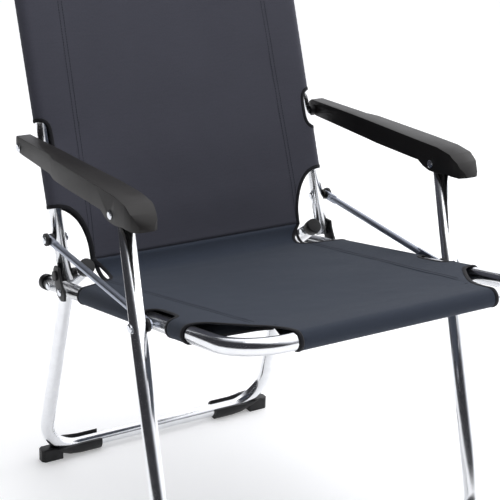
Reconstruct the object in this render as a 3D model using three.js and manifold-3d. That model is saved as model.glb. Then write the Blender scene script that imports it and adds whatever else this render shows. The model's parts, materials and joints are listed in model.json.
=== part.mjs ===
// Folding camp chair: aluminium tube frames, sling fabric, moulded armrests and feet.
// Units are millimetres. +Z is up, the sitter faces -Y, +X is the sitter's left.
// The origin is on the floor, under the middle of the overall box.
import * as THREE from 'three';
import { mergeVertices } from 'three/addons/utils/BufferGeometryUtils.js';
import Module from 'manifold-3d';

const wasm = await Module();
wasm.setup();

// ---- Driving dimensions ----
const LEG_TUBE_D = 22;
const BACK_TUBE_D = 20;
const TUBE_WALL = 1.5;

// Half widths: distance of each tube's axis from the middle plane.
const FRONT_LEG_X = 254;
const SEAT_TUBE_X = 224;
const BACK_TUBE_X = 227;
const REAR_LEG_X = 200;
const REAR_RAIL_X = 210;

// Side view, as [y, z] before the part is centred.
const SEAT_RISE = 0.1858;
const SEAT_LEVEL_Z = 351.6;
const SEAT_REAR_Y = 84;
const SEAT_FRONT_Y = -484;
const BACK_LEAN = 0.3556;
const BACK_BASE_Z = 360;
const BACK_LOW_Z = 366;
const BACK_TOP_Z = 862;
const FRONT_LEG_LEAN = 0.257;
const RAIL_Z = 14.5;

const LEG_PIVOT = [-280, 403.7];
const ARM_FRONT_PIVOT = [-243.5, 546];
const ARM_REAR_PIVOT = [69.7, 556];
const BACK_PIVOT = [23.5, 426];
const REAR_LEG_PIVOT = [50, 342.3];
const REAR_LEG_PIN = [6, 375];
const REAR_LEG_ELBOW = [58, 336.3];
const PLATE_PIVOT = [-6, 352.7];
const PLATE_BOSS = [8, 374];
const REAR_LEG_LEAN = 0.275;
const REAR_LEG_TAIL = 22;
const FRONT_LEG_TAIL = 13;
const BLIND_DEPTH = 9;

const SEAT_BEND = 62;
const BACK_BEND = 80;
const RAIL_BEND = 62;
const ELBOW_BEND = 45;

const RIVET_R = 3;
const RIVET_HEAD_R = 6;
const RIVET_HEAD_H = 2.3;
const WIDE_HEAD_R = 6.8;
const HOLE_R = 3.25;
const OPEN_HOLE_R = 5.6;
const GAP = 0.3;
const OVERLAP = 0.5;

const CAP_WALL = 1.3;
const CAP_DEPTH = 12;
const CAP_END = 2.4;

const STAY_ROD_R = 5;
const ROD_START = 44;
const ROD_END_GAP = 22;
const ROD_OVERLAP = 8;
const ROD_LOW_X = 2.4;
const STAY_EYE_W = 13;
const STAY_EYE_T = 3.2;
const STAY_SPACER_R = 8;
const LEG_SPACER_R = 9;
const WASHER_R = 7;
const PIN_SPACER_R = 7.5;
const ARM_SPACER_R = 8.5;
const PLATE_FOOT_R = 8;
const PLATE_BOSS_R = 7.5;
const PLATE_T = 3.6;
const PLATE_GAP = 0.6;
const PLATE_BOSS_RISE = 3;
const STAY_CAP_R = 9.5;
const STAY_CAP_T = 5;
const STAY_SPACER_T = 4.2;
const STAY_LOW_GAP = 0.4;

const SEAT_FABRIC_T = 2.5;
const SEAT_FABRIC_LIFT = 9.75;
const BACK_FABRIC_T = 2.5;
const BACK_PANEL_EDGE = 211;
const BACK_PANEL_FOOT = 178;
const BACK_PANEL_Z = [370, 452, 468];
// Half of the seat panel's outline, [x, y].
const SEAT_PANEL = [
  [175, -1.5], [175, -26], [205, -34], [205, -328], [195, -342], [176, -411], [168, -470.5],
];

const SHOE_R = 16.2;
const SHOE_FRONT_Z = 20;
const SHOE_LIP_Z = 30;
const SHOE_LIP_Y = 6;
const SHOE_REACH = 60;
const SHOE_PAD_X = 180;
const SHOE_PAD_FRONT = 13;
const SHOE_PAD_REAR = 8;
const SHOE_PAD_CHAMFER = 5;
const SHOE_INNER_X = 110;
const SHOE_OUTER_X = 216;
const FRONT_SHOE_INNER_X = 223;
const FRONT_SHOE_OUTER_X = 262;

const ROUND_SEGMENTS = 16;
const RIVET_SEGMENTS = 12;
const BEND_STEPS = 6;

// Armrest: inner and outer faces, and the bore and block that shape it.
const ARM_INNER_X = 236;
const ARM_OUTER_X = 274;
const ARM_REAR_OUTER_X = 268;
const ARM_BLANK_X = [230, 280];
const ARM_BLANK_Z = [525, 585];
const ARM_FLOOR_Z = 520;
const ARM_SPACER_X = 245.6;

// Armrest outline seen from the side, [y, z].
const ARM_SIDE = [
  [84, 551], [87, 560], [84, 568], [77, 572], [-30, 573.5], [-200, 574],
  [-256, 573.5], [-284, 569.5], [-299, 560], [-309, 548], [-312, 541], [-303, 539], [-276, 539],
  [-258, 535.5], [-240, 535.5], [-226, 539], [-214, 545], [-108, 544], [60, 548],
];
// Armrest outline seen from above, [x, y].
const ARM_PLAN = [
  [247, 90], [242, -80], [236.5, -200], [ARM_INNER_X, -290], [239, -304], [247, -312],
  [257, -313], [267, -309], [273, -297], [ARM_OUTER_X, -282], [ARM_OUTER_X, -66],
  [ARM_REAR_OUTER_X, -42], [ARM_REAR_OUTER_X, 78], [264, 90],
];
const ARM_CHANNEL = { x0: 241.7, x1: 266.3, y0: -284, y1: -150, z1: 565 };

// ---- Derived positions ----
const LEG_R = LEG_TUBE_D / 2;
const BACK_R = BACK_TUBE_D / 2;
const seatZ = (y) => SEAT_LEVEL_Z - SEAT_RISE * y;
const backY = (z) => BACK_LEAN * (z - BACK_BASE_Z);
const frontLegY = (z) => LEG_PIVOT[0] + FRONT_LEG_LEAN * (z - LEG_PIVOT[1]);
const SEAT_ANGLE = Math.atan(SEAT_RISE);
const BACK_ANGLE = Math.atan2(1, BACK_LEAN);
const REAR_RAIL_Y = REAR_LEG_ELBOW[0] + REAR_LEG_LEAN * (REAR_LEG_ELBOW[1] - RAIL_Z);
const FRONT_RAIL_Y = frontLegY(RAIL_Z);

// ---- Solids ----
const plain = (geometry) => {
  const flat = geometry.index ? geometry.toNonIndexed() : geometry.clone();
  const bare = new THREE.BufferGeometry();
  bare.setAttribute('position', flat.getAttribute('position'));
  return mergeVertices(bare, 1e-4);
};

const signedVolume = (points, index) => {
  const a = new THREE.Vector3();
  const b = new THREE.Vector3();
  const c = new THREE.Vector3();
  let total = 0;
  for (let i = 0; i < index.length; i += 3) {
    a.fromArray(points, index[i] * 3);
    b.fromArray(points, index[i + 1] * 3);
    c.fromArray(points, index[i + 2] * 3);
    total += a.dot(b.cross(c)) / 6;
  }
  return total;
};

const solid = (geometry) => {
  const bare = plain(geometry);
  const vertProperties = new Float32Array(bare.getAttribute('position').array);
  const triVerts = new Uint32Array(bare.index.array);
  if (signedVolume(vertProperties, triVerts) < 0) {
    for (let i = 0; i < triVerts.length; i += 3) {
      [triVerts[i], triVerts[i + 1]] = [triVerts[i + 1], triVerts[i]];
    }
  }
  return new wasm.Manifold(new wasm.Mesh({ numProp: 3, vertProperties, triVerts }));
};

const surface = (body) => {
  const mesh = body.getMesh();
  const geometry = new THREE.BufferGeometry();
  geometry.setAttribute('position', new THREE.BufferAttribute(new Float32Array(mesh.vertProperties), 3));
  geometry.setIndex(Array.from(mesh.triVerts));
  geometry.computeVertexNormals();
  return geometry;
};

const alongX = (geometry, y, z) => geometry.rotateZ(-Math.PI / 2).translate(0, y, z);

const rod = (x0, x1, r, [y, z], segments = ROUND_SEGMENTS) => {
  const geometry = new THREE.CylinderGeometry(r, r, x1 - x0, segments);
  return solid(alongX(geometry.translate(0, (x0 + x1) / 2, 0), y, z));
};

const block = (x0, x1, y0, y1, z0, z1) => {
  const geometry = new THREE.BoxGeometry(x1 - x0, y1 - y0, z1 - z0);
  return solid(geometry.translate((x0 + x1) / 2, (y0 + y1) / 2, (z0 + z1) / 2));
};

const ring = (x0, x1, outer, inner, at) =>
  rod(x0, x1, outer, at).subtract(rod(x0 - 1, x1 + 1, inner, at, RIVET_SEGMENTS));

const rivet = (x0, x1, [y, z], headR = RIVET_HEAD_R) => {
  const crown = headR * 0.7;
  const profile = [
    [0, x0 - RIVET_HEAD_H], [crown, x0 - RIVET_HEAD_H], [headR, x0 - 1], [headR, x0],
    [RIVET_R, x0], [RIVET_R, x1], [headR, x1], [headR, x1 + 1],
    [crown, x1 + RIVET_HEAD_H], [0, x1 + RIVET_HEAD_H],
  ];
  const turned = new THREE.LatheGeometry(profile.map(([r, h]) => new THREE.Vector2(r, h)), RIVET_SEGMENTS);
  return solid(alongX(turned, y, z));
};

// A rivet with one head, at its low-X end.
const stud = (x0, x1, [y, z]) => {
  const profile = [
    [0, x0 - RIVET_HEAD_H], [RIVET_HEAD_R * 0.7, x0 - RIVET_HEAD_H], [RIVET_HEAD_R, x0 - 1],
    [RIVET_HEAD_R, x0], [RIVET_R, x0], [RIVET_R, x1], [0, x1],
  ];
  const turned = new THREE.LatheGeometry(profile.map(([r, h]) => new THREE.Vector2(r, h)), RIVET_SEGMENTS);
  return solid(alongX(turned, y, z));
};

// A path of straight runs joined by round bends, sampled only where it turns.
class BentPath extends THREE.Curve {
  constructor(corners, radii) {
    super();
    this.stops = [];
    const place = (point, direction) => this.stops.push({ point, direction });
    const points = corners.map((corner) => new THREE.Vector3(...corner));
    const last = points.length - 1;
    place(points[0], points[1].clone().sub(points[0]).normalize());
    for (let i = 1; i < last; i += 1) {
      const before = points[i].clone().sub(points[i - 1]).normalize();
      const after = points[i + 1].clone().sub(points[i]).normalize();
      const turn = before.angleTo(after);
      const reach = radii[i - 1] * Math.tan(turn / 2);
      const start = points[i].clone().addScaledVector(before, -reach);
      const inward = after.clone().addScaledVector(before, -after.dot(before)).normalize();
      const centre = start.clone().addScaledVector(inward, radii[i - 1]);
      for (let k = 0; k <= BEND_STEPS; k += 1) {
        const angle = (turn * k) / BEND_STEPS;
        const point = centre.clone()
          .addScaledVector(inward, -radii[i - 1] * Math.cos(angle))
          .addScaledVector(before, radii[i - 1] * Math.sin(angle));
        const direction = before.clone().multiplyScalar(Math.cos(angle))
          .addScaledVector(inward, Math.sin(angle));
        place(point, direction);
      }
    }
    place(points[last], points[last].clone().sub(points[last - 1]).normalize());
  }

  getSpacedPoints() {
    return this.stops.map((stop) => stop.point.clone());
  }

  getTangentAt(u, target = new THREE.Vector3()) {
    return target.copy(this.stops[Math.round(u * (this.stops.length - 1))].direction);
  }
}

const disc = (r) => {
  const shape = new THREE.Shape();
  shape.absarc(0, 0, r, 0, Math.PI * 2);
  return shape;
};

const sweep = (path, r) => solid(new THREE.ExtrudeGeometry(disc(r), {
  extrudePath: path, steps: path.stops.length - 1, curveSegments: ROUND_SEGMENTS / 2,
}));

const tube = (path, r) => {
  const shape = disc(r);
  shape.holes.push(new THREE.Path().absarc(0, 0, r - TUBE_WALL, 0, Math.PI * 2, true));
  return solid(new THREE.ExtrudeGeometry(shape, {
    extrudePath: path, steps: path.stops.length - 1, curveSegments: ROUND_SEGMENTS / 2,
  }));
};

const mirrorX = (body) => solid(surface(body).scale(-1, 1, 1));

const drill = (body, x, holes) => {
  let drilled = body;
  holes.forEach(([at, r]) => {
    const bit = rod(x - LEG_TUBE_D, x + LEG_TUBE_D, r, at, RIVET_SEGMENTS);
    drilled = drilled.subtract(bit).subtract(mirrorX(bit));
  });
  return drilled;
};

const outline = (points) => new THREE.Shape(points.map(([u, v]) => new THREE.Vector2(u, v)));

// Side-view outline [y, z] given a thickness along X.
const sideSlab = (points, x0, x1) => {
  const geometry = new THREE.ExtrudeGeometry(outline(points), { depth: x1 - x0, bevelEnabled: false });
  geometry.rotateY(Math.PI / 2);
  geometry.rotateX(Math.PI / 2);
  return solid(geometry.translate(x0, 0, 0));
};

// ---- Assembly ----
const parts = [];
const add = (name, body, finish) => parts.push({ name, body, finish });
const addPair = (name, body, finish) => {
  add(`${name}_right`, body, finish);
  add(`${name}_left`, mirrorX(body), finish);
};

const POLISHED = { color: 0xc4c8ce, roughness: 0.28, metalness: 1 };
const RIVET_METAL = { color: 0xd6d8da, roughness: 0.3, metalness: 1 };
const STAY_METAL = { color: 0x8c93a3, roughness: 0.42, metalness: 0.9 };
const BLACK_PLASTIC = { color: 0x17171a, roughness: 0.5, metalness: 0 };
const ARM_PLASTIC = { color: 0x241f20, roughness: 0.62, metalness: 0 };
const SEAT_CLOTH = { color: 0x4a5263, roughness: 0.92, metalness: 0 };
const BACK_CLOTH = { color: 0x33333f, roughness: 0.92, metalness: 0 };

// Seat frame, open at the rear.
const seatPath = new BentPath([
  [-SEAT_TUBE_X, SEAT_REAR_Y, seatZ(SEAT_REAR_Y)],
  [-SEAT_TUBE_X, SEAT_FRONT_Y, seatZ(SEAT_FRONT_Y)],
  [SEAT_TUBE_X, SEAT_FRONT_Y, seatZ(SEAT_FRONT_Y)],
  [SEAT_TUBE_X, SEAT_REAR_Y, seatZ(SEAT_REAR_Y)],
], [SEAT_BEND, SEAT_BEND]);
const plateHole = rod(SEAT_TUBE_X, SEAT_TUBE_X + LEG_TUBE_D, HOLE_R, PLATE_PIVOT, RIVET_SEGMENTS);
add('seat_frame', drill(tube(seatPath, LEG_R), SEAT_TUBE_X, [
  [LEG_PIVOT, HOLE_R], [REAR_LEG_PIVOT, HOLE_R],
]).subtract(plateHole).subtract(mirrorX(plateHole)), POLISHED);

// Back frame, open at the bottom.
const backPath = new BentPath([
  [-BACK_TUBE_X, backY(BACK_LOW_Z), BACK_LOW_Z],
  [-BACK_TUBE_X, backY(BACK_TOP_Z), BACK_TOP_Z],
  [BACK_TUBE_X, backY(BACK_TOP_Z), BACK_TOP_Z],
  [BACK_TUBE_X, backY(BACK_LOW_Z), BACK_LOW_Z],
], [BACK_BEND, BACK_BEND]);
add('back_frame', drill(tube(backPath, BACK_R), BACK_TUBE_X, [
  [BACK_PIVOT, HOLE_R], [ARM_REAR_PIVOT, OPEN_HOLE_R],
]), POLISHED);

// Front legs: one tube with a rail across the floor.
const FRONT_LEG_TOP_Z = ARM_FRONT_PIVOT[1] + FRONT_LEG_TAIL;
const frontPath = new BentPath([
  [-FRONT_LEG_X, frontLegY(FRONT_LEG_TOP_Z), FRONT_LEG_TOP_Z],
  [-FRONT_LEG_X, FRONT_RAIL_Y, RAIL_Z],
  [FRONT_LEG_X, FRONT_RAIL_Y, RAIL_Z],
  [FRONT_LEG_X, frontLegY(FRONT_LEG_TOP_Z), FRONT_LEG_TOP_Z],
], [RAIL_BEND, RAIL_BEND]);
add('front_leg_frame', drill(tube(frontPath, LEG_R), FRONT_LEG_X, [
  [LEG_PIVOT, HOLE_R], [ARM_FRONT_PIVOT, HOLE_R],
]), POLISHED);

// Rear legs: one tube with a rail across the floor and a tail past each elbow.
const pinReach = Math.hypot(REAR_LEG_PIN[0] - REAR_LEG_PIVOT[0], REAR_LEG_PIN[1] - REAR_LEG_PIVOT[1]);
const tailDirection = [0, 1].map((i) => (REAR_LEG_PIN[i] - REAR_LEG_PIVOT[i]) / pinReach);
const tailEnd = [0, 1].map((i) => REAR_LEG_PIN[i] + tailDirection[i] * REAR_LEG_TAIL);
const rearCorners = [
  [REAR_LEG_X, ...tailEnd], [REAR_LEG_X, ...REAR_LEG_ELBOW], [REAR_RAIL_X, REAR_RAIL_Y, RAIL_Z],
];
const rearPath = new BentPath([
  ...rearCorners.map(([x, y, z]) => [-x, y, z]), ...rearCorners.slice().reverse(),
], [ELBOW_BEND, RAIL_BEND, RAIL_BEND, ELBOW_BEND]);
add('rear_leg_frame', drill(tube(rearPath, LEG_R), REAR_LEG_X, [
  [REAR_LEG_PIVOT, HOLE_R], [REAR_LEG_PIN, HOLE_R],
]), POLISHED);

// Push-on end caps, each closed end pointing away from its tube.
const capProfile = [
  [0, 0.3], [LEG_R + GAP, 0.3], [LEG_R + GAP, -CAP_DEPTH], [LEG_R + CAP_WALL, -CAP_DEPTH],
  [LEG_R + CAP_WALL, CAP_END - 1], [LEG_R, CAP_END], [0, CAP_END],
].map(([r, h]) => new THREE.Vector2(r, h));
const placeCap = (x, [y, z], [dy, dz]) => {
  const cap = new THREE.LatheGeometry(capProfile, ROUND_SEGMENTS);
  return solid(cap.rotateX(Math.atan2(dz, dy)).translate(x, y, z));
};
addPair('seat_tube_cap', placeCap(
  SEAT_TUBE_X, [SEAT_REAR_Y, seatZ(SEAT_REAR_Y)], [1, -SEAT_RISE],
), BLACK_PLASTIC);
addPair('rear_leg_cap', placeCap(REAR_LEG_X, tailEnd, tailDirection), BLACK_PLASTIC);

// Hinge plates outside the seat tubes, beside the foot of the back tubes.
const PLATE_X0 = BACK_TUBE_X + BACK_R + PLATE_GAP;
const PLATE_X1 = PLATE_X0 + PLATE_T;
const SEAT_OUTER_X = SEAT_TUBE_X + LEG_R;
const plate = sideSlab([
  [-1, 388], [13, 388], [17, 381], [16, 366], [9, 354], [3, 344], [-9, 340], [-20, 343],
  [-21, 353], [-10, 366], [-4, 378],
], PLATE_X0, PLATE_X1)
  .add(rod(SEAT_OUTER_X + GAP, PLATE_X0 + OVERLAP, PLATE_FOOT_R, PLATE_PIVOT))
  .add(rod(PLATE_X0 + OVERLAP, PLATE_X1 + PLATE_BOSS_RISE, PLATE_BOSS_R, PLATE_BOSS))
  .subtract(rod(SEAT_OUTER_X - 1, PLATE_X1 + 1, HOLE_R, PLATE_PIVOT, RIVET_SEGMENTS));
addPair('hinge_plate', plate, BLACK_PLASTIC);
// Blind rivets: the tip ends inside the seat tube, so its inner side stays clear.
const blindRivet = stud(-PLATE_X1 - GAP, BLIND_DEPTH - SEAT_OUTER_X, PLATE_PIVOT);
addPair('hinge_plate_rivet', mirrorX(blindRivet), RIVET_METAL);

// Stay rods from the back tubes down to the leg pivots, with flattened ends.
const stayLength = Math.hypot(BACK_PIVOT[0] - LEG_PIVOT[0], BACK_PIVOT[1] - LEG_PIVOT[1]);
const stayAngle = Math.atan2(BACK_PIVOT[1] - LEG_PIVOT[1], BACK_PIVOT[0] - LEG_PIVOT[0]);
const STAY_TOP_X = BACK_TUBE_X + BACK_R + GAP + STAY_SPACER_T + GAP;
const STAY_LOW_X = SEAT_OUTER_X + STAY_LOW_GAP;
const stayPoint = (s, x) => new THREE.Vector3(
  x, LEG_PIVOT[0] + s * Math.cos(stayAngle), LEG_PIVOT[1] + s * Math.sin(stayAngle),
);
const EYE_STEPS = 6;
const flatEye = (eye, tail, x0) => {
  const half = STAY_EYE_W / 2;
  const side = Math.sign(eye - tail);
  const around = [[tail, side * half], [tail, -side * half]];
  for (let k = 0; k <= EYE_STEPS; k += 1) {
    const angle = Math.PI * (k / EYE_STEPS - 0.5);
    around.push([eye + side * half * Math.cos(angle), side * half * Math.sin(angle)]);
  }
  return sideSlab(around.map(([s, w]) => [
    LEG_PIVOT[0] + s * Math.cos(stayAngle) - w * Math.sin(stayAngle),
    LEG_PIVOT[1] + s * Math.sin(stayAngle) + w * Math.cos(stayAngle),
  ]), x0, x0 + STAY_EYE_T);
};
const ROD_END = stayLength - ROD_END_GAP;
const rodFrom = stayPoint(ROD_START, STAY_LOW_X + ROD_LOW_X);
const rodTo = stayPoint(ROD_END, STAY_TOP_X + STAY_EYE_T / 2);
const rodPath = new BentPath([rodFrom.toArray(), rodTo.toArray()], []);
const stay = sweep(rodPath, STAY_ROD_R)
  .add(flatEye(0, ROD_START + ROD_OVERLAP, STAY_LOW_X))
  .add(flatEye(stayLength, ROD_END - ROD_OVERLAP, STAY_TOP_X))
  .subtract(rod(STAY_LOW_X - 1, STAY_LOW_X + STAY_EYE_T + 1, HOLE_R, LEG_PIVOT, RIVET_SEGMENTS))
  .subtract(rod(STAY_TOP_X - 1, STAY_TOP_X + STAY_EYE_T + 1, HOLE_R, BACK_PIVOT, RIVET_SEGMENTS));
addPair('stay_rod', stay, STAY_METAL);
const STAY_CAP_X = STAY_TOP_X + STAY_EYE_T + GAP;
addPair('stay_spacer', ring(
  BACK_TUBE_X + BACK_R + GAP, STAY_TOP_X - GAP, STAY_SPACER_R, HOLE_R, BACK_PIVOT,
), BLACK_PLASTIC);
addPair('stay_cap', ring(
  STAY_CAP_X, STAY_CAP_X + STAY_CAP_T, STAY_CAP_R, HOLE_R, BACK_PIVOT,
), BLACK_PLASTIC);
addPair('stay_rivet', rivet(
  BACK_TUBE_X - BACK_R - GAP, STAY_CAP_X + STAY_CAP_T + GAP, BACK_PIVOT,
), RIVET_METAL);

// Leg pivots: seat tube, stay eye, spacer and front leg on one rivet.
addPair('leg_spacer', ring(
  STAY_LOW_X + STAY_EYE_T + GAP, FRONT_LEG_X - LEG_R - GAP, LEG_SPACER_R, HOLE_R, LEG_PIVOT,
), BLACK_PLASTIC);
addPair('leg_rivet', rivet(
  SEAT_TUBE_X - LEG_R - GAP, FRONT_LEG_X + LEG_R + GAP, LEG_PIVOT,
), RIVET_METAL);

// Rear leg pivots and the pins that meet the back tubes.
addPair('rear_leg_rivet', rivet(
  REAR_LEG_X - LEG_R - GAP, SEAT_OUTER_X + GAP, REAR_LEG_PIVOT,
), RIVET_METAL);
addPair('rear_leg_washer', ring(
  REAR_LEG_X + LEG_R + GAP, SEAT_TUBE_X - LEG_R - GAP, WASHER_R, HOLE_R, REAR_LEG_PIVOT,
), BLACK_PLASTIC);
const PIN_TIP_X = BACK_TUBE_X - BACK_R - GAP;
addPair('rear_leg_pin', stud(REAR_LEG_X - LEG_R - GAP, PIN_TIP_X, REAR_LEG_PIN), RIVET_METAL);
addPair('rear_leg_spacer', ring(
  REAR_LEG_X + LEG_R + GAP, PIN_TIP_X, PIN_SPACER_R, HOLE_R, REAR_LEG_PIN,
), BLACK_PLASTIC);

// Armrests: moulded, with a channel below that takes the folded front leg.
const planSlab = solid(new THREE.ExtrudeGeometry(outline(ARM_PLAN), {
  depth: ARM_BLANK_Z[1] - ARM_BLANK_Z[0], bevelEnabled: false,
}).translate(0, 0, ARM_BLANK_Z[0]));
const armHole = (at) => rod(...ARM_BLANK_X, HOLE_R, at, RIVET_SEGMENTS);
const channel = block(
  ARM_CHANNEL.x0, ARM_CHANNEL.x1, ARM_CHANNEL.y0, ARM_CHANNEL.y1, ARM_FLOOR_Z, ARM_CHANNEL.z1,
);
const armrest = sideSlab(ARM_SIDE, ...ARM_BLANK_X)
  .intersect(planSlab)
  .subtract(channel)
  .subtract(armHole(ARM_FRONT_PIVOT))
  .subtract(armHole(ARM_REAR_PIVOT));
addPair('armrest', armrest, ARM_PLASTIC);
addPair('armrest_front_rivet', rivet(ARM_INNER_X - GAP, ARM_OUTER_X + GAP, ARM_FRONT_PIVOT), RIVET_METAL);
addPair('armrest_rear_rivet', rivet(
  BACK_TUBE_X - BACK_R - GAP, ARM_REAR_OUTER_X + GAP, ARM_REAR_PIVOT, WIDE_HEAD_R,
), RIVET_METAL);
addPair('armrest_spacer', ring(
  BACK_TUBE_X + BACK_R + GAP, ARM_SPACER_X, ARM_SPACER_R, HOLE_R, ARM_REAR_PIVOT,
), BLACK_PLASTIC);

// Moulded corner shoes that carry the floor rails.
const cornerPad = (x0, x1, y) => {
  const inner = Math.max(x0, SHOE_PAD_X);
  const pad = new THREE.ExtrudeGeometry(outline([
    [inner, y - SHOE_PAD_FRONT], [x1 - SHOE_PAD_CHAMFER, y - SHOE_PAD_FRONT],
    [x1, y - SHOE_PAD_FRONT + SHOE_PAD_CHAMFER], [x1, y + SHOE_PAD_REAR - SHOE_PAD_CHAMFER],
    [x1 - SHOE_PAD_CHAMFER, y + SHOE_PAD_REAR], [inner, y + SHOE_PAD_REAR],
  ]), { depth: SHOE_FRONT_Z, bevelEnabled: false });
  return solid(pad);
};
const shoe = (path, x0, x1, railY) => sweep(path, SHOE_R)
  .intersect(block(x0, x1, railY - SHOE_REACH, railY + SHOE_REACH, 0, SHOE_FRONT_Z)
    .add(block(x0, x1, railY + SHOE_LIP_Y, railY + SHOE_REACH, 0, SHOE_LIP_Z)))
  .add(cornerPad(x0, x1, railY))
  .subtract(sweep(path, LEG_R + GAP));
addPair('rear_foot', shoe(rearPath, SHOE_INNER_X, SHOE_OUTER_X, REAR_RAIL_Y), BLACK_PLASTIC);
addPair('front_foot', shoe(frontPath, FRONT_SHOE_INNER_X, FRONT_SHOE_OUTER_X, FRONT_RAIL_Y), BLACK_PLASTIC);

// Sling fabric, as flat panels inside the frames.
const mirroredOutline = (half) => outline([
  ...half, ...half.slice().reverse().map(([u, v]) => [-u, v]),
]);
const seatPanel = new THREE.ExtrudeGeometry(
  mirroredOutline(SEAT_PANEL.map(([x, y]) => [x, y / Math.cos(SEAT_ANGLE)])),
  { depth: SEAT_FABRIC_T, bevelEnabled: false },
).translate(0, 0, SEAT_FABRIC_LIFT - SEAT_FABRIC_T / 2);
add('seat_fabric', solid(seatPanel.rotateX(-SEAT_ANGLE).translate(0, 0, SEAT_LEVEL_Z)), SEAT_CLOTH);

const upBack = (z) => (z - BACK_BASE_Z) / Math.sin(BACK_ANGLE);
const panelArc = BACK_BEND - (BACK_TUBE_X - BACK_PANEL_EDGE);
const arcCentre = [BACK_TUBE_X - BACK_BEND, upBack(BACK_TOP_Z) - BACK_BEND];
const PANEL_ARC_STEPS = 4;
const backCorner = Array.from({ length: PANEL_ARC_STEPS + 1 }, (_, k) => {
  const angle = (k * Math.PI) / (2 * PANEL_ARC_STEPS);
  return [arcCentre[0] + panelArc * Math.cos(angle), arcCentre[1] + panelArc * Math.sin(angle)];
});
const backPanel = new THREE.ExtrudeGeometry(mirroredOutline([
  [BACK_PANEL_FOOT, upBack(BACK_PANEL_Z[0])], [BACK_PANEL_FOOT, upBack(BACK_PANEL_Z[1])],
  [BACK_PANEL_EDGE, upBack(BACK_PANEL_Z[2])], ...backCorner,
]), { depth: BACK_FABRIC_T, bevelEnabled: false }).translate(0, 0, -BACK_FABRIC_T / 2);
add('back_fabric', solid(backPanel.rotateX(BACK_ANGLE).translate(0, 0, BACK_BASE_Z)), BACK_CLOTH);

// ---- Centre the part and make the meshes ----
const bounds = new THREE.Box3();
const surfaces = parts.map(({ body }) => surface(body));
surfaces.forEach((geometry) => {
  geometry.computeBoundingBox();
  bounds.union(geometry.boundingBox);
});
const middle = bounds.getCenter(new THREE.Vector3());
const group = new THREE.Group();
group.name = 'folding_camp_chair';
parts.forEach(({ name, finish }, i) => {
  const mesh = new THREE.Mesh(
    surfaces[i].translate(0, -middle.y, -bounds.min.z),
    new THREE.MeshStandardMaterial(finish),
  );
  mesh.name = name;
  group.add(mesh);
});

export default group;
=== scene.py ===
import json
import math

import bpy
import numpy as np
from mathutils import Matrix, Vector, noise
from mathutils.geometry import delaunay_2d_cdt


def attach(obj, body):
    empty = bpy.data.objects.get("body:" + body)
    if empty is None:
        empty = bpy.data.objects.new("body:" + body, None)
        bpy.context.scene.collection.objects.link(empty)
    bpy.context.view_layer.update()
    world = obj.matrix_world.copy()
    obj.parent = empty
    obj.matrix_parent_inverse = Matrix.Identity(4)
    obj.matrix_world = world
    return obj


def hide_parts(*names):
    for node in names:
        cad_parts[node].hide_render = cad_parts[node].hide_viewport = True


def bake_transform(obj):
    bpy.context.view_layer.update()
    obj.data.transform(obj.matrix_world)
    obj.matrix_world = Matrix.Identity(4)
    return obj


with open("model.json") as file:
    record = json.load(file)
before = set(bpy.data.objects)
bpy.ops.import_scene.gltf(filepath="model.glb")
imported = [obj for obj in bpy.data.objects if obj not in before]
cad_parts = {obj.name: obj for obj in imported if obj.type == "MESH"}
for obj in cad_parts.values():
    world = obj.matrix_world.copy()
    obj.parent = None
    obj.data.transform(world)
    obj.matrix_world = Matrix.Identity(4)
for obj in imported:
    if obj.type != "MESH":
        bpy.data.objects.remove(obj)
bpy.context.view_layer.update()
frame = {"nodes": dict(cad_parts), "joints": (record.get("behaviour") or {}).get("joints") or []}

SCENE = bpy.context.scene
NODES = frame["nodes"]
JOINTS = {joint["name"]: joint for joint in frame["joints"]}

# ---- Sizes in millimetres; side-view places are [y, z] before the part was centred ----
LEG_PIVOT_Y = -280.0
SHIFT_Y = JOINTS["front_leg_fold"]["pos_m"][1] * 1000 - LEG_PIVOT_Y
SEAT_X = 224.0
SEAT_RISE = 0.1858
SEAT_LEVEL_Z = 351.6
SEAT_FRONT_Y = -484.0
BACK_X = 227.0
BACK_LEAN = 0.3556
BACK_BASE_Z = 360.0
BACK_TOP_Z = 862.0
SEAT_WRAP_R = 12.3
BACK_WRAP_R = 11.3
CLOTH_T = 1.0
SEAM_Z = 390.0
SEAM_HALF = 183.0
FILLET_R = 22.0
LOW_OFFSET = 5.0
SEAT_SAG = 5.0
BACK_SAG = 4.0
FLAP = 46.0
SPACING = 6.5
BOUNDARY_STEP = 3.5
LOOSE_SIDE, LOOSE_END = 60, 90
SEAT_RIPPLES = [(0.9, 3.1, 70.0), (0.35, 8.2, 24.0)]
BACK_RIPPLES = [(0.9, 5.7, 80.0), (0.3, 1.9, 26.0)]


def smooth(t):
    t = np.clip(t, 0, 1)
    return t * t * (3 - 2 * t)


# ---- Camera ----
CAMERA_AZIMUTH, CAMERA_ELEVATION, CAMERA_ROLL = -29.98, 17.98, 0.82
CAMERA_PLACE = Vector((-976.1, -1692.6, 1076.0))
CAMERA_LENS = 96.985
CAMERA_SENSOR = 36
CAMERA_SHIFT = (0.0947, -0.0807)


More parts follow.
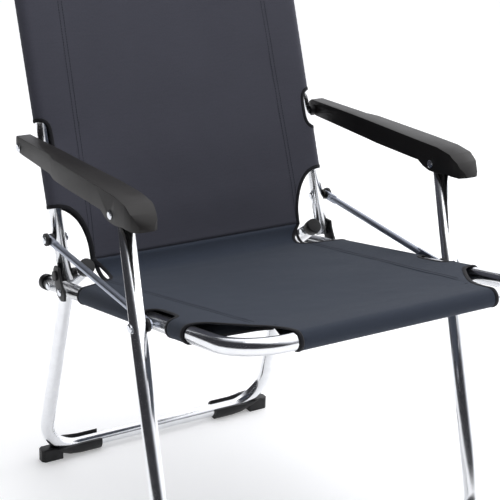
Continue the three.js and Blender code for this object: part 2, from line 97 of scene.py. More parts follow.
def make_camera():
    azimuth, elevation, roll = (math.radians(v) for v in
                                (CAMERA_AZIMUTH, CAMERA_ELEVATION, CAMERA_ROLL))
    back = Vector((math.sin(azimuth) * math.cos(elevation),
                   -math.cos(azimuth) * math.cos(elevation), math.sin(elevation)))
    right = Vector((math.cos(azimuth), math.sin(azimuth), 0))
    up = back.cross(right)
    side = right * math.cos(roll) + up * math.sin(roll)
    top = up * math.cos(roll) - right * math.sin(roll)
    data = bpy.data.cameras.new("camera")
    data.lens = CAMERA_LENS
    data.sensor_width = CAMERA_SENSOR
    data.shift_x, data.shift_y = CAMERA_SHIFT
    obj = bpy.data.objects.new("camera", data)
    SCENE.collection.objects.link(obj)
    matrix = Matrix((side, top, back)).transposed().to_4x4()
    matrix.translation = (CAMERA_PLACE + Vector((0, SHIFT_Y, 0))) / 1000
    obj.matrix_world = matrix
    SCENE.camera = obj


make_camera()


# ---- Node helpers ----
def material(name):
    mat = bpy.data.materials.new(name)
    mat.use_nodes = True
    tree = mat.node_tree
    return mat, tree, tree.nodes["Principled BSDF"]


def math_node(tree, operation, *values):
    node = tree.nodes.new("ShaderNodeMath")
    node.operation = operation
    for socket, value in zip(node.inputs, values):
        if isinstance(value, (int, float)):
            socket.default_value = value
        else:
            tree.links.new(value, socket)
    return node.outputs[0]


def noise_node(tree, vector, scale, detail=3.0, roughness=0.55):
    node = tree.nodes.new("ShaderNodeTexNoise")
    node.inputs["Scale"].default_value = scale
    node.inputs["Detail"].default_value = detail
    node.inputs["Roughness"].default_value = roughness
    tree.links.new(vector, node.inputs["Vector"])
    return node.outputs["Fac"]


def ramp(tree, value, stops):
    node = tree.nodes.new("ShaderNodeValToRGB")
    elements = node.color_ramp.elements
    while len(elements) < len(stops):
        elements.new(0.5)
    for element, (place, colour) in zip(elements, stops):
        element.position = place
        element.color = (*colour, 1)
    tree.links.new(value, node.inputs["Fac"])
    return node.outputs["Color"]


def spread(tree, value, low, high):
    node = tree.nodes.new("ShaderNodeMapRange")
    node.inputs["To Min"].default_value = low
    node.inputs["To Max"].default_value = high
    tree.links.new(value, node.inputs["Value"])
    return node.outputs["Result"]


def bump(tree, bsdf, height, distance, strength):
    node = tree.nodes.new("ShaderNodeBump")
    node.inputs["Distance"].default_value = distance
    node.inputs["Strength"].default_value = strength
    tree.links.new(height, node.inputs["Height"])
    tree.links.new(node.outputs["Normal"], bsdf.inputs["Normal"])


def object_coordinates(tree, stretch=(1, 1, 1)):
    source = tree.nodes.new("ShaderNodeTexCoord")
    mapping = tree.nodes.new("ShaderNodeMapping")
    mapping.inputs["Scale"].default_value = stretch
    tree.links.new(source.outputs["Object"], mapping.inputs["Vector"])
    return mapping.outputs["Vector"]


def shades(colour, spread_by):
    return [tuple(min(1.0, c * (1 + k * spread_by)) for c in colour) for k in (-1, 0, 1)]


def cloth_material(name, colour, pitch=0.0012, variation=0.16):
    mat, tree, bsdf = material(name)
    uv = tree.nodes.new("ShaderNodeUVMap")
    uv.uv_map = "cut"
    parts = tree.nodes.new("ShaderNodeSeparateXYZ")
    tree.links.new(uv.outputs["UV"], parts.inputs["Vector"])
    turn = 2 * math.pi / pitch
    warp = math_node(tree, "SINE", math_node(tree, "MULTIPLY", parts.outputs["X"], turn))
    weft = math_node(tree, "SINE", math_node(tree, "MULTIPLY", parts.outputs["Y"], turn))
    weave = math_node(tree, "MULTIPLY", warp, weft)
    fine = noise_node(tree, uv.outputs["UV"], 420.0, 4.0, 0.7)
    slub = tree.nodes.new("ShaderNodeMapping")
    slub.inputs["Scale"].default_value = (1.0, 9.0, 1.0)
    tree.links.new(uv.outputs["UV"], slub.inputs["Vector"])
    streak = noise_node(tree, slub.outputs["Vector"], 38.0, 3.0, 0.6)
    broad = noise_node(tree, uv.outputs["UV"], 5.0, 2.0, 0.5)
    total = math_node(tree, "ADD", math_node(tree, "MULTIPLY", weave, 0.12),
                      math_node(tree, "MULTIPLY", fine, 0.55))
    total = math_node(tree, "ADD", total, math_node(tree, "MULTIPLY", streak, 0.2))
    total = math_node(tree, "ADD", total, math_node(tree, "MULTIPLY", broad, 0.25))
    low, middle, high = shades(colour, variation)
    tree.links.new(ramp(tree, total, [(0.3, low), (0.5, middle), (0.7, high)]),
                   bsdf.inputs["Base Color"])
    tree.links.new(spread(tree, fine, 0.78, 0.95), bsdf.inputs["Roughness"])
    bsdf.inputs["Sheen Weight"].default_value = 0.1
    bsdf.inputs["Sheen Roughness"].default_value = 0.5
    bsdf.inputs["Specular IOR Level"].default_value = 0.15
    height = math_node(tree, "ADD", math_node(tree, "MULTIPLY", weave, 0.5), fine)
    bump(tree, bsdf, height, 0.00035, 0.55)
    return mat


def metal_material(name, colour, roughness, stretch=(1, 1, 1), variation=0.05):
    mat, tree, bsdf = material(name)
    vector = object_coordinates(tree, stretch)
    streak = noise_node(tree, vector, 60.0, 4.0, 0.6)
    low, middle, high = shades(colour, variation)
    tree.links.new(ramp(tree, streak, [(0.3, low), (0.5, middle), (0.7, high)]),
                   bsdf.inputs["Base Color"])
    tree.links.new(spread(tree, streak, roughness * 0.7, roughness * 1.35),
                   bsdf.inputs["Roughness"])
    bsdf.inputs["Metallic"].default_value = 1.0
    bump(tree, bsdf, noise_node(tree, vector, 400.0, 3.0), 0.00003, 0.25)
    return mat


def plastic_material(name, colour, roughness, grain=900.0, depth=0.00012):
    mat, tree, bsdf = material(name)
    vector = object_coordinates(tree)
    fine = noise_node(tree, vector, grain, 3.0, 0.6)
    wear = noise_node(tree, vector, 22.0, 4.0, 0.6)
    low, middle, high = shades(colour, 0.18)
    tree.links.new(ramp(tree, wear, [(0.3, low), (0.5, middle), (0.72, high)]),
                   bsdf.inputs["Base Color"])
    tree.links.new(spread(tree, wear, roughness * 0.85, roughness * 1.2), bsdf.inputs["Roughness"])
    bsdf.inputs["Specular IOR Level"].default_value = 0.28
    bump(tree, bsdf, fine, depth, 0.5)
    return mat


SEAT_CLOTH = cloth_material("seat_cloth", (0.031, 0.039, 0.057))
BACK_CLOTH = cloth_material("back_cloth", (0.060, 0.061, 0.079))
BINDING = cloth_material("binding_tape", (0.012, 0.012, 0.015), 0.0009, 0.25)
THREAD = cloth_material("thread", (0.016, 0.017, 0.024), 0.0004, 0.2)
ALUMINIUM = metal_material("polished_aluminium", (0.80, 0.81, 0.83), 0.17)
RIVET_STEEL = metal_material("rivet_steel", (0.72, 0.74, 0.77), 0.24)
STAY_STEEL = metal_material("satin_steel", (0.40, 0.43, 0.50), 0.42)
BLACK_PLASTIC = plastic_material("black_plastic", (0.012, 0.012, 0.013), 0.42)
ARM_PLASTIC = plastic_material("armrest_plastic", (0.014, 0.0125, 0.012), 0.45, 700.0, 0.0002)

FINISH = {
    "tube_aluminium": ALUMINIUM, "rivet_metal": RIVET_STEEL, "stay_metal": STAY_STEEL,
    "black_plastic": BLACK_PLASTIC, "armrest_plastic": ARM_PLASTIC,
    "seat_cloth": SEAT_CLOTH, "back_cloth": BACK_CLOTH,
}


# ---- Cloth: cut flat, then laid in place ----
SEAT_ANGLE = math.atan(SEAT_RISE)
BACK_ANGLE = math.atan(BACK_LEAN)
SEAT_FORWARD = np.array([-math.cos(SEAT_ANGLE), math.sin(SEAT_ANGLE)])
SEAT_NORMAL = np.array([math.sin(SEAT_ANGLE), math.cos(SEAT_ANGLE)])
BACK_UP = np.array([math.sin(BACK_ANGLE), math.cos(BACK_ANGLE)])
BACK_NORMAL = np.array([-math.cos(BACK_ANGLE), math.sin(BACK_ANGLE)])


def find_corner():
    seat_point = np.array([0.0, SEAT_LEVEL_Z]) + SEAT_NORMAL * SEAT_WRAP_R
    back_point = np.array([0.0, BACK_BASE_Z]) + BACK_NORMAL * LOW_OFFSET
    along = np.linalg.solve(np.array([SEAT_FORWARD, -BACK_UP]).T, back_point - seat_point)
    return seat_point + SEAT_FORWARD * along[0]


CORNER = find_corner()
TURN = math.acos(float(-SEAT_FORWARD @ BACK_UP))
TANGENT = FILLET_R * math.tan(TURN / 2)
ARC = FILLET_R * TURN
SEAM_Q = TANGENT - ARC - ((SEAM_Z - CORNER[1]) / BACK_UP[1] - TANGENT)
SEAT_FRONT = np.array([SEAT_FRONT_Y, SEAT_LEVEL_Z - SEAT_RISE * SEAT_FRONT_Y])
RAIL_Q = float((SEAT_FRONT - CORNER) @ SEAT_FORWARD)
RAIL_R = (BACK_TOP_Z - SEAM_Z) / BACK_UP[1]


def wrap(u, edge, radius, flap):
    """Across a tube: place, rise and the normal's two parts of a cloth point u from the middle."""
    over = u - edge
    angle = np.clip(over / radius, 0, math.pi)
    beyond = np.maximum(over - math.pi * radius, 0)
    share = np.clip(beyond / flap, 0, 1)
    place = np.where(over < 0, u, edge + radius * np.sin(angle) - beyond)
    lift = np.where(over < 0, 0, radius * (np.cos(angle) - 1))
    lift = lift + (2 * radius - 1.6 * CLOTH_T) * share ** 1.3
    return place, lift, np.sin(angle), np.cos(angle)


def seat_stitch_x(q):
    return 176 - 0.05 * np.clip(q, 0, 480)


def back_stitch_x(r):
    return 176 - 0.018 * np.clip(r, 0, 480)


def seat_profile(q):
    q = q[:, None]
    flat = CORNER + SEAT_FORWARD * np.maximum(q, TANGENT)
    angle = np.clip((TANGENT - q) / FILLET_R, 0, TURN)
    normal = SEAT_NORMAL * np.cos(angle) + SEAT_FORWARD * np.sin(angle)
    centre = CORNER + SEAT_FORWARD * TANGENT + SEAT_NORMAL * FILLET_R
    bent = centre - normal * FILLET_R + BACK_UP * np.maximum(TANGENT - ARC - q, 0)
    return np.where(q >= TANGENT, flat, bent), normal


def to_row(points):
    return (points + np.array([0, SHIFT_Y, 0])) / 1000


def lay(place, normal, across, lift_x, sin_x, cos_x, sign, forward, sin_q, h):
    """The shared last step: a profile point, lifted along its normal and spread across."""
    out = np.zeros((len(across), 3))
    out[:, 0] = sign * across
    out[:, 1:] = place + normal * lift_x[:, None]
    direction = np.zeros_like(out)
    direction[:, 0] = sign * sin_x
    direction[:, 1:] = normal * cos_x[:, None] + forward * sin_q[:, None]
    return to_row(out + direction * np.asarray(h).reshape(-1, 1)), direction


def ripple(p, q, seed, size):
    """Smooth noise over the flat cut, in waves about size mm across."""
    return np.array([noise.noise(Vector((a / size, b / size, seed))) for a, b in zip(p, q)])


def seat_map(points, h=0.0):
    p, q = np.asarray(points, float).T
    sign, a = np.where(p < 0, -1.0, 1.0), np.abs(p)
    across, lift, sin_x, cos_x = wrap(a, SEAT_X, SEAT_WRAP_R, SEAT_X - seat_stitch_x(q))
    along, drop, sin_q, cos_q = wrap(q, RAIL_Q, SEAT_WRAP_R, FLAP)
    place, normal = seat_profile(along)
    loose = (smooth((SEAT_X - a) / LOOSE_SIDE) * smooth((RAIL_Q - q) / LOOSE_END)
             * smooth((q + 10) / LOOSE_SIDE))
    sag = SEAT_SAG * np.cos(np.clip(a / SEAT_X, 0, 1) * math.pi / 2) * loose
    for height, seed, size in SEAT_RIPPLES:
        sag = sag + height * loose * ripple(p, q, seed, size)
    lift = lift + drop - sag
    return lay(place, normal, across, lift, sin_x, cos_x * cos_q, sign,
               SEAT_FORWARD, sin_q, h)


def back_map(points, h=0.0):
    p, r = np.asarray(points, float).T
    sign, a = np.where(p < 0, -1.0, 1.0), np.abs(p)
    across, lift, sin_x, cos_x = wrap(a, BACK_X, BACK_WRAP_R, BACK_X - back_stitch_x(r))
    along, drop, sin_r, cos_r = wrap(r, RAIL_R, BACK_WRAP_R, FLAP)
    offset = LOW_OFFSET + (BACK_WRAP_R - LOW_OFFSET) * smooth(along / 75)
    start = CORNER + BACK_UP * ((SEAM_Z - CORNER[1]) / BACK_UP[1]) - BACK_NORMAL * LOW_OFFSET
    place = start + BACK_UP * along[:, None] + BACK_NORMAL * offset[:, None]
    loose = (smooth((BACK_X - a) / LOOSE_SIDE) * smooth((RAIL_R - r) / LOOSE_END)
             * smooth(r / LOOSE_END))
    sag = BACK_SAG * np.cos(np.clip(a / BACK_X, 0, 1) * math.pi / 2) * loose
    for height, seed, size in BACK_RIPPLES:
        sag = sag + height * loose * ripple(p, r, seed, size)
    normal = np.repeat(BACK_NORMAL[None, :], len(p), 0)
    return lay(place, normal, across, lift + drop - sag, sin_x, cos_x * cos_r, sign,
               BACK_UP, sin_r, h)


SEAT_MIDDLE = SEAT_X + math.pi * SEAT_WRAP_R / 2
BACK_MIDDLE = BACK_X + math.pi * BACK_WRAP_R / 2


def seat_q(y):
    return (CORNER[0] - y) / math.cos(SEAT_ANGLE)


def back_r(z):
    return (z - SEAM_Z) / BACK_UP[1]


def other_side(points, middle):
    return [(2 * middle - a, b) for a, b in reversed(points)]


SEAT_REAR_EDGE = [(SEAM_HALF, SEAM_Q), (179.5, SEAM_Q + 5), (172, SEAM_Q + 14), (167, SEAM_Q + 23),
                  (166, SEAM_Q + 32), (169.5, SEAM_Q + 41), (177, SEAM_Q + 48), (189, SEAM_Q + 56),
                  (203, SEAM_Q + 62), (216, SEAM_Q + 67), (230, SEAM_Q + 71)]
SEAT_CORNER_EDGE = [(228, seat_q(-362)), (217, seat_q(-363)), (206, seat_q(-369)),
                    (194, seat_q(-384)), (180, seat_q(-404)), (166, seat_q(-426)),
                    (157, seat_q(-445)), (152.5, seat_q(-462)), (151, seat_q(-474))]
LEG_NOTCH = [(232, seat_q(-252)), (224, seat_q(-253)), (217, seat_q(-258)), (214.5, seat_q(-268)),
             (214, seat_q(-285)), (214.5, seat_q(-302)), (217, seat_q(-312)),
             (224, seat_q(-317)), (232, seat_q(-318))]
BACK_LOW_EDGE = [(SEAM_HALF, 0), (183, back_r(402)), (184, back_r(415)), (187.5, back_r(430)),
                 (193, back_r(444)), (200.5, back_r(455)), (210, back_r(463.5)),
                 (220, back_r(467.5)), (232, back_r(469))]
ARM_NOTCH = [(236, back_r(534)), (229, back_r(536)), (224, back_r(542)), (222, back_r(552)),
             (222, back_r(572)), (224, back_r(582)), (229, back_r(587)), (236, back_r(589))]
BACK_TOP_EDGE = [(232, back_r(782)), (219, back_r(783)), (206, back_r(787)), (192, back_r(798)),
                 (176, back_r(815)), (162, back_r(832)), (154, back_r(845)), (151, back_r(854))]


def rounded(points, step=BOUNDARY_STEP, closed=False):
    """A smooth curve through the points, with points a step apart."""
    pts = np.array(points, float)
    count = len(pts)
    out = []
    spans = range(count if closed else count - 1)
    for i in spans:
        if closed:
            a, b, c, d = (pts[(i + k) % count] for k in (-1, 0, 1, 2))
        else:
            a, b, c, d = (pts[min(max(i + k, 0), count - 1)] for k in (-1, 0, 1, 2))
        pieces = max(1, int(np.linalg.norm(c - b) / step))
        for k in range(pieces):
            t = k / pieces
            out.append(0.5 * (2 * b + (c - a) * t + (2 * a - 5 * b + 4 * c - d) * t ** 2
                              + (3 * b - a - 3 * c + d) * t ** 3))
    if not closed:
        out.append(pts[-1])
    return np.array(out)


def straight(a, b, step=BOUNDARY_STEP):
    count = max(1, int(math.dist(a, b) / step))
    a, b = np.array(a), np.array(b)
    return np.array([a + (b - a) * k / count for k in range(count + 1)])


def join_lines(lines):
    out = [lines[0]]
    for line in lines[1:]:
        skip = 1 if np.linalg.norm(out[-1][-1] - line[0]) < 1e-6 else 0
        out.append(line[skip:])
    return np.concatenate(out)


def upto_stitch(points, middle, stitch):
    """The folded-under copy of an edge, as far as the line where the flap is sewn."""
    under = other_side(points, middle)
    return [(a, b) for a, b in under if 2 * middle - a > stitch(b) + 1]


def inside(points, outline):
    x, y = points.T
    result = np.zeros(len(points), bool)
    x0, y0 = outline.T
    x1, y1 = np.roll(outline, -1, 0).T
    for a, b, c, d in zip(x0, y0, x1, y1):
        if b == d:
            continue
        crosses = ((b > y) != (d > y)) & (x < (c - a) * (y - b) / (d - b) + a)
        result ^= crosses
    return result


def polygon_area(outline):
    x, y = outline.T
    return abs(float(np.sum(x * np.roll(y, -1) - y * np.roll(x, -1)))) / 2


def cut_cloth(outline, holes):
    """Triangles that fill the flat cut."""
    low, high = outline.min(0), outline.max(0)
    rows = []
    for k, v in enumerate(np.arange(low[1], high[1], SPACING * 0.866)):
        us = np.arange(low[0] + (k % 2) * SPACING / 2, high[0], SPACING)
        rows.append(np.stack([us, np.full(len(us), v)], 1))
    grid = np.concatenate(rows)
    keep = inside(grid, outline)
    for hole in holes:
        keep &= ~inside(grid, hole)
    grid = grid[keep]
    rim = np.concatenate([outline, *holes])
    near = np.array([np.min(np.sum((rim - g) ** 2, 1)) for g in grid])
    grid = grid[near > (SPACING * 0.5) ** 2]
    edges, start = [], 0
    for loop in (outline, *holes):
        edges += [(start + i, start + (i + 1) % len(loop)) for i in range(len(loop))]
        start += len(loop)
    everything = np.concatenate([rim, grid])
    verts, _, faces, *_ = delaunay_2d_cdt([Vector(v) for v in everything], edges, [], 0, 1e-4)
    points = np.array([tuple(v) for v in verts])
    faces = np.array([f for f in faces if len(f) == 3])
    middles = points[faces].mean(1)
    keep = inside(middles, outline)
    for hole in holes:
        keep &= ~inside(middles, hole)
    return points, faces[keep]


def new_object(name, verts, faces, mat, smooth_shade=True):
    mesh = bpy.data.meshes.new(name)
    mesh.from_pydata([tuple(v) for v in verts], [], [tuple(int(i) for i in f) for f in faces])
    mesh.update()
    mesh.materials.append(mat)
    mesh.polygons.foreach_set("use_smooth", [smooth_shade] * len(mesh.polygons))
    obj = bpy.data.objects.new(name, mesh)
    SCENE.collection.objects.link(obj)
    return obj


def set_cut(obj, flat):
    """Keeps the flat place of every corner, so that the weave follows the cloth."""
    layer = obj.data.uv_layers.new(name="cut")
    indices = np.zeros(len(obj.data.loops), np.int32)
    obj.data.loops.foreach_get("vertex_index", indices)
    layer.data.foreach_set("uv", (flat[indices] / 1000).astype(np.float32).ravel())


def settle(obj):
    """Applies the piece's modifiers."""
    bpy.context.view_layer.update()
    graph = bpy.context.evaluated_depsgraph_get()
    mesh = bpy.data.meshes.new_from_object(obj.evaluated_get(graph))
    obj.modifiers.clear()
    obj.data = mesh
    return obj


def make_panel(name, outline, holes, lay_map, mat):
    flat, faces = cut_cloth(outline, holes)
    points, _ = lay_map(flat)
    obj = new_object(name, points, faces, mat)
    set_cut(obj, flat)
    thick = obj.modifiers.new("thickness", "SOLIDIFY")
    thick.thickness = CLOTH_T / 1000
    thick.offset = 0
    settle(obj)
    area = polygon_area(outline) - sum(polygon_area(h) for h in holes)
    size = (outline.max(0) - outline.min(0)) / 1000
    return obj, size, area / 1e6


TAPE_SECTION = [(5.0, 0.75), (3.4, 1.1), (1.0, 1.15), (-0.5, 0.7), (-0.8, 0.0),
                (-0.5, -0.7), (1.0, -1.15), (3.4, -1.1), (5.0, -0.75)]


def across_line(line, closed):
    """The unit direction at a right angle to a line at each of its points."""
    if closed:
        step = np.roll(line, -1, 0) - np.roll(line, 1, 0)
    else:
        step = np.gradient(line, axis=0)
    step = step / np.linalg.norm(step, axis=1)[:, None]
    return np.stack([-step[:, 1], step[:, 0]], 1), step


def tape(line, closed, outline, holes, lay_map):
    """Vertices, faces and flat places of a folded tape along a cut edge."""
    side, _ = across_line(line, closed)
    middle = len(line) // 2
    probe = line[middle:middle + 1] + side[middle] * 3
    on_cloth = inside(probe, outline)[0] and not any(inside(probe, h)[0] for h in holes)
    if not on_cloth:
        side = -side
    verts, flat = [], []
    for d, h in TAPE_SECTION:
        place = line + side * d
        points, _ = lay_map(place, h)
        verts.append(points)
        flat.append(place)
    count, ring = len(line), len(TAPE_SECTION)
    verts = np.stack(verts, 1).reshape(-1, 3)
    flat = np.stack(flat, 1).reshape(-1, 2)
    faces = []
    for i in range(count if closed else count - 1):
        j = (i + 1) % count
        for k in range(ring):
            m = (k + 1) % ring
            faces.append((i * ring + k, i * ring + m, j * ring + m, j * ring + k))
    if not closed:
        faces.append(tuple(range(ring)))
        faces.append(tuple(reversed(range((count - 1) * ring, count * ring))))
    return verts, faces, flat


def merged(name, parts, mat):
    verts, faces, flat, start = [], [], [], 0
    for v, f, u in parts:
        verts.append(v)
        flat.append(u)
        faces += [tuple(i + start for i in face) for face in f]
        start += len(v)
    obj = new_object(name, np.concatenate(verts), faces, mat)
    set_cut(obj, np.concatenate(flat))
    return obj


def resample(line, step):
    lengths = np.concatenate([[0], np.cumsum(np.linalg.norm(np.diff(line, axis=0), axis=1))])
    at = np.arange(step / 2, lengths[-1], step)
    return np.stack([np.interp(at, lengths, line[:, k]) for k in (0, 1)], 1)


THREAD_SIDES = 5
STITCH_RINGS = [(-0.5, 0.15), (-0.32, 1.0), (0.32, 1.0), (0.5, 0.15)]
STITCH_PITCH = 4.0
STITCH_LENGTH = 3.0
THREAD_R = 0.5


def stitches(line, lay_map, h):
    """Thread along a line, one short rounded piece a stitch."""
    centres = resample(line, STITCH_PITCH)
    _, step = across_line(centres, False)
    side = np.stack([-step[:, 1], step[:, 0]], 1)
    verts, flat = [], []
    sign = 1 if h > 0 else -1
    for along, width in STITCH_RINGS:
        for angle in range(THREAD_SIDES):
            turn = 2 * math.pi * angle / THREAD_SIDES
            place = (centres + step * along * STITCH_LENGTH
                     + side * THREAD_R * width * math.cos(turn))
            height = h + sign * THREAD_R * width * math.sin(turn) * 0.8
            points, _ = lay_map(place, height)
            verts.append(points)
            flat.append(place)
    count = len(centres)
    verts = np.stack(verts, 1).reshape(-1, 3)
    flat = np.stack(flat, 1).reshape(-1, 2)
    faces = []
    last = len(STITCH_RINGS) - 1
    for i in range(count):
        base = i * THREAD_SIDES * len(STITCH_RINGS)
        for k in range(last):
            low, high = base + k * THREAD_SIDES, base + (k + 1) * THREAD_SIDES
            for m in range(THREAD_SIDES):
                n = (m + 1) % THREAD_SIDES
                faces.append((low + m, low + n, high + n, high + m))
        faces.append(tuple(base + m for m in reversed(range(THREAD_SIDES))))
        faces.append(tuple(base + last * THREAD_SIDES + m for m in range(THREAD_SIDES)))
    return verts, faces, flat


def mirrored(line):
    return line * np.array([-1, 1])


def half_outline(rear, corner, middle, stitch, far):
    """The right half of a panel's cut, from the middle of its first edge round to its far edge."""
    under_rear = upto_stitch(rear, middle, stitch)
    first = rounded([*rear, *under_rear])
    last = rounded([*upto_stitch(corner, middle, stitch), *corner])
    start_q, end_q = under_rear[-1][1], last[0][1]
    count = int((end_q - start_q) / BOUNDARY_STEP)
    qs = np.linspace(start_q, end_q, count)
    sewn = np.stack([2 * middle - stitch(qs), qs], 1)
    tail = straight(corner[-1], (corner[-1][0], far))
    edges = {"first": first, "last": join_lines([last, tail])}
    return join_lines([first, sewn, last, tail]), edges


def full_outline(half):
    return join_lines([straight((0, half[0][1]), half[0]), half,
                       straight(half[-1], (-half[-1][0], half[-1][1])),
                       mirrored(half)[::-1], straight(mirrored(half)[0], (0, half[0][1]))])[:-1]


def closed_notch(points, middle):
    return rounded([*points, *other_side(points, middle)], closed=True)


SEAT_FAR = RAIL_Q + math.pi * SEAT_WRAP_R + FLAP
BACK_FAR = RAIL_R + math.pi * BACK_WRAP_R + FLAP
seat_half, seat_edges = half_outline(SEAT_REAR_EDGE, SEAT_CORNER_EDGE, SEAT_MIDDLE,
                                     seat_stitch_x, SEAT_FAR)
back_half, back_edges = half_outline(BACK_LOW_EDGE, BACK_TOP_EDGE, BACK_MIDDLE,
                                     back_stitch_x, BACK_FAR)
seat_outline, back_outline = full_outline(seat_half), full_outline(back_half)
leg_notch = closed_notch(LEG_NOTCH, SEAT_MIDDLE)
arm_notch = closed_notch(ARM_NOTCH, BACK_MIDDLE)
seat_holes = [leg_notch, mirrored(leg_notch)]
back_holes = [arm_notch, mirrored(arm_notch)]

seat_panel, seat_size, seat_area = make_panel("seat_sling", seat_outline, seat_holes,
                                              seat_map, SEAT_CLOTH)
back_panel, back_size, back_area = make_panel("back_sling", back_outline, back_holes,
                                              back_map, BACK_CLOTH)


def edge_tapes(edges, notch, outline, holes, lay_map):
    parts = []
    for line in edges.values():
        for copy in (line, mirrored(line)):
            parts.append(tape(copy, False, outline, holes, lay_map))
    for hole in (notch, mirrored(notch)):
        parts.append(tape(hole, True, outline, holes, lay_map))
    return parts


seat_tape = merged("seat_edge_binding",
                   edge_tapes(seat_edges, leg_notch, seat_outline, seat_holes, seat_map), BINDING)
back_tape = merged("back_edge_binding",
                   edge_tapes(back_edges, arm_notch, back_outline, back_holes, back_map), BINDING)


def sleeve_rows(stitch, start, end, gap=6.0):
    rows = []
    for shift in (1.5, 1.5 + gap):
        qs = np.linspace(start, end, 160)
        line = np.stack([stitch(qs) + shift, qs], 1)
        rows += [line, mirrored(line)]
    return rows


STITCH_H = CLOTH_T / 2 + 0.05
seat_rows = sleeve_rows(seat_stitch_x, seat_q(-38), seat_q(-404))
back_rows = sleeve_rows(back_stitch_x, back_r(398), back_r(812))
seam_line = straight((-SEAM_HALF + 4, 2.2), (SEAM_HALF - 4, 2.2), 8)
seat_thread = merged("seat_stitching", [stitches(line, seat_map, STITCH_H)
                                        for line in seat_rows], THREAD)
back_thread = merged("back_stitching", [stitches(line, back_map, STITCH_H)
                                        for line in (*back_rows, seam_line)], THREAD)

for obj, node, slot in ((seat_panel, "seat_fabric", "seat_cloth"),
                        (back_panel, "back_fabric", "back_cloth")):
    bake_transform(obj)
    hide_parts(node)
for obj in (seat_tape, back_tape, seat_thread, back_thread):
    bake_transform(obj)


# ---- CAD nodes keep their shape and get their finish ----
def slot_of(name):
    """The material slot of a CAD node, from its name."""
    if "rivet" in name or "pin" in name:
        return "rivet_metal"
    if name.startswith("stay_rod"):
        return "stay_metal"
    if name in ("armrest_left", "armrest_right"):
        return "armrest_plastic"
    return "tube_aluminium" if name.endswith("_frame") else "black_plastic"


def smooth_faces():
    group = bpy.data.node_groups.new("smooth_faces", "GeometryNodeTree")
    group.interface.new_socket("Geometry", in_out="INPUT", socket_type="NodeSocketGeometry")
    group.interface.new_socket("Geometry", in_out="OUTPUT", socket_type="NodeSocketGeometry")
    entry, shade = group.nodes.new("NodeGroupInput"), group.nodes.new("GeometryNodeSetShadeSmooth")
    group.links.new(entry.outputs[0], shade.inputs["Geometry"])
    group.links.new(shade.outputs[0], group.nodes.new("NodeGroupOutput").inputs[0])
    return group


SMOOTH_FACES = smooth_faces()


def soften_edges(node, width, angle=35):
    """Rounds a CAD node's sharp edges with modifiers; its mesh stays as it is."""
    weld = node.modifiers.new("weld", "WELD")
    weld.merge_threshold = 0.00002
    shade = node.modifiers.new("smooth", "NODES")
    shade.node_group = SMOOTH_FACES
    bevel = node.modifiers.new("bevel", "BEVEL")
    bevel.width = width / 1000
    bevel.segments = 3
    bevel.limit_method = "ANGLE"
    bevel.angle_limit = math.radians(angle)
    bevel.harden_normals = True


ARM_BEVEL, SMALL_BEVEL = 2.4, 0.5
for name, node in NODES.items():
    node.data.materials.clear()
    node.data.materials.append(FINISH[slot_of(name)])
    if name in ("armrest_left", "armrest_right"):
        soften_edges(node, ARM_BEVEL)
    elif "foot" in name or "cap" in name or "plate" in name:
        soften_edges(node, SMALL_BEVEL)


# ---- Tube frames, with round bends and hollow ends ----
TUBE_SIDES = 36
BEND_STEPS = 18
TUBE_WALL = 1.5


def bent_line(corners, radii):
    corners = [np.array(c, float) for c in corners]
    points = [corners[0]]
    for i, radius in enumerate(radii, 1):
        before = corners[i] - corners[i - 1]
        after = corners[i + 1] - corners[i]
        before, after = before / np.linalg.norm(before), after / np.linalg.norm(after)
        turn = math.acos(float(np.clip(before @ after, -1, 1)))
        start = corners[i] - before * radius * math.tan(turn / 2)
        inward = after - before * (after @ before)
        inward /= np.linalg.norm(inward)
        centre = start + inward * radius
        for k in range(BEND_STEPS + 1):
            angle = turn * k / BEND_STEPS
            points.append(centre - inward * radius * math.cos(angle)
                          + before * radius * math.sin(angle))
    points.append(corners[-1])
    return np.array(points)


def tube_frame(name, corners, radii, radius, node, body):
    """A hollow tube round bent_line that stands in for a CAD frame."""
    line = bent_line(corners, radii)
    steps = np.gradient(line, axis=0)
    steps /= np.linalg.norm(steps, axis=1)[:, None]
    side = np.cross(steps[0], [0.3, 0.2, 0.9])
    side /= np.linalg.norm(side)
    rings = {radius: [], radius - TUBE_WALL: []}
    for point, step in zip(line, steps):
        side = side - step * (side @ step)
        side /= np.linalg.norm(side)
        other = np.cross(step, side)
        for r, out in rings.items():
            for k in range(TUBE_SIDES):
                angle = 2 * math.pi * k / TUBE_SIDES
                out.append(point + (side * math.cos(angle) + other * math.sin(angle)) * r)
    outer, inner = (np.array(r) for r in rings.values())
    count, n, shift = len(line), TUBE_SIDES, len(outer)
    faces = []
    for i in range(count - 1):
        for k in range(n):
            m = (k + 1) % n
            a, b, c, d = i * n + k, i * n + m, (i + 1) * n + m, (i + 1) * n + k
            faces.append((a, b, c, d))
            faces.append((d + shift, c + shift, b + shift, a + shift))
    last = (count - 1) * n
    for k in range(n):
        m = (k + 1) % n
        faces.append((m, k, k + shift, m + shift))
        faces.append((last + k, last + m, last + m + shift, last + k + shift))
    obj = new_object(name, to_row(np.concatenate([outer, inner])), faces, ALUMINIUM)
    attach(obj, body)
    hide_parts(node)


def seat_z(y):
    return SEAT_LEVEL_Z - SEAT_RISE * y


def back_y(z):
    return BACK_LEAN * (z - BACK_BASE_Z)


def front_leg_y(z):
    return LEG_PIVOT_Y + LEG_LEAN * (z - LEG_PIVOT_Z)


def mirror_path(half):
    return [(-x, y, z) for x, y, z in half] + list(reversed(half))


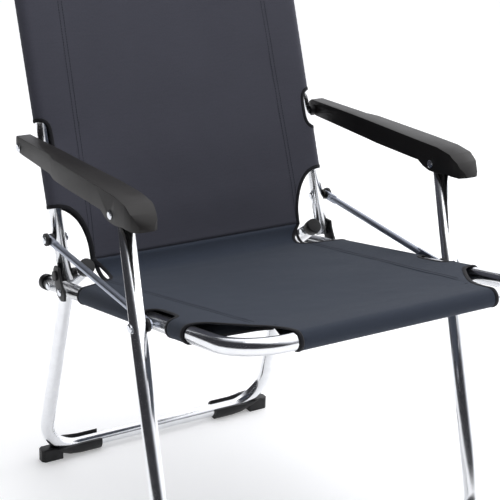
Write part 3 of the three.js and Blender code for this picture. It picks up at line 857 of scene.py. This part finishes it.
LEG_R, BACK_R = 11.0, 10.0
LEG_BEND, BACK_BEND, ELBOW_BEND = 62, 80, 45
RAIL_Z = 14.5
LEG_LEAN, LEG_PIVOT_Z = 0.257, 403.7
LEG_X, LEG_TOP_Z = 254, 559
SEAT_END_Y, BACK_FOOT_Z = 84, 366
ELBOW_X, ELBOW_Y, ELBOW_Z = 200, 58, 336.3
REAR_RAIL_X, REAR_LEAN = 210, 0.275
PIN, REAR_PIVOT = np.array([6, 375.0]), [50, 342.3]
TAIL = (PIN - REAR_PIVOT) / np.linalg.norm(PIN - REAR_PIVOT)
TAIL_END = PIN + TAIL * 22
SEAT_PATH = mirror_path([(SEAT_X, SEAT_END_Y, seat_z(SEAT_END_Y)),
                         (SEAT_X, SEAT_FRONT_Y, seat_z(SEAT_FRONT_Y))])
BACK_PATH = mirror_path([(BACK_X, back_y(BACK_FOOT_Z), BACK_FOOT_Z),
                         (BACK_X, back_y(BACK_TOP_Z), BACK_TOP_Z)])
FRONT_PATH = mirror_path([(LEG_X, front_leg_y(LEG_TOP_Z), LEG_TOP_Z),
                          (LEG_X, front_leg_y(RAIL_Z), RAIL_Z)])
REAR_PATH = mirror_path([(ELBOW_X, *TAIL_END), (ELBOW_X, ELBOW_Y, ELBOW_Z),
                         (REAR_RAIL_X, ELBOW_Y + REAR_LEAN * (ELBOW_Z - RAIL_Z), RAIL_Z)])
tube_frame("seat_tube_frame", SEAT_PATH, [LEG_BEND] * 2, LEG_R, "seat_frame", "seat")
tube_frame("back_tube_frame", BACK_PATH, [BACK_BEND] * 2, BACK_R, "back_frame", "backrest")
tube_frame("front_leg_tube", FRONT_PATH, [LEG_BEND] * 2, LEG_R, "front_leg_frame", "front_legs")
tube_frame("rear_leg_tube", REAR_PATH, [ELBOW_BEND, LEG_BEND, LEG_BEND, ELBOW_BEND], LEG_R,
           "rear_leg_frame", "rear_legs")


# ---- Floor and light ----
FLOOR_HALF = 6.0
FLOOR_GLOW = 0.3


def stage_plane():
    half = FLOOR_HALF
    corners = [(-half, -half, 0), (half, -half, 0), (half, half, 0), (-half, half, 0)]
    floor = new_object("floor", corners, [(0, 1, 2, 3)], FLOOR)


def floor_material():
    mat, tree, bsdf = material("studio_floor")
    grain = noise_node(tree, object_coordinates(tree), 6.0)
    paint = ramp(tree, grain, [(0.3, (0.93, 0.93, 0.93)), (0.7, (0.95, 0.95, 0.95))])
    tree.links.new(paint, bsdf.inputs["Base Color"])
    tree.links.new(paint, bsdf.inputs["Emission Color"])
    bsdf.inputs["Emission Strength"].default_value = FLOOR_GLOW
    bsdf.inputs["Roughness"].default_value = 0.9
    bsdf.inputs["Specular IOR Level"].default_value = 0.1
    return mat


DARK_SIDE = (-0.985, -0.174, -0.9)


def make_world():
    """A studio that is dark low on one side; the camera itself sees a white backdrop."""
    world = bpy.data.worlds.new("studio")
    SCENE.world = world
    world.use_nodes = True
    tree = world.node_tree
    background = tree.nodes["Background"]
    coordinates = tree.nodes.new("ShaderNodeTexCoord")
    dot = tree.nodes.new("ShaderNodeVectorMath")
    dot.operation = "DOT_PRODUCT"
    dot.inputs[1].default_value = DARK_SIDE
    tree.links.new(coordinates.outputs["Generated"], dot.inputs[0])
    colour = ramp(tree, math_node(tree, "MULTIPLY_ADD", dot.outputs["Value"], 0.5, 0.5), [
        (0.12, (1.3, 1.31, 1.35)), (0.22, (0.45, 0.46, 0.5)), (0.36, (0.04, 0.04, 0.045))])
    tree.links.new(colour, background.inputs["Color"])
    backdrop = tree.nodes.new("ShaderNodeBackground")
    backdrop.inputs["Color"].default_value = (1, 1, 1, 1)
    path = tree.nodes.new("ShaderNodeLightPath")
    mix = tree.nodes.new("ShaderNodeMixShader")
    tree.links.new(path.outputs["Is Camera Ray"], mix.inputs[0])
    tree.links.new(background.outputs[0], mix.inputs[1])
    tree.links.new(backdrop.outputs[0], mix.inputs[2])
    tree.links.new(mix.outputs[0], tree.nodes["World Output"].inputs["Surface"])


def area_light(name, place, target, size, power):
    data = bpy.data.lights.new(name, "AREA")
    data.shape = "SQUARE"
    data.size = size
    data.energy = power
    obj = bpy.data.objects.new(name, data)
    SCENE.collection.objects.link(obj)
    obj.location = place
    obj.rotation_euler = (Vector(target) - Vector(place)).to_track_quat("-Z", "Y").to_euler()


FLOOR = floor_material()
stage_plane()
make_world()
area_light("key", (0.2, -0.4, 3.0), (0, 0, 0.4), 2.4, 32)
area_light("side", (2.4, 0.2, 1.4), (0, 0, 0.4), 1.4, 14)
SCENE.view_settings.view_transform = "Standard"
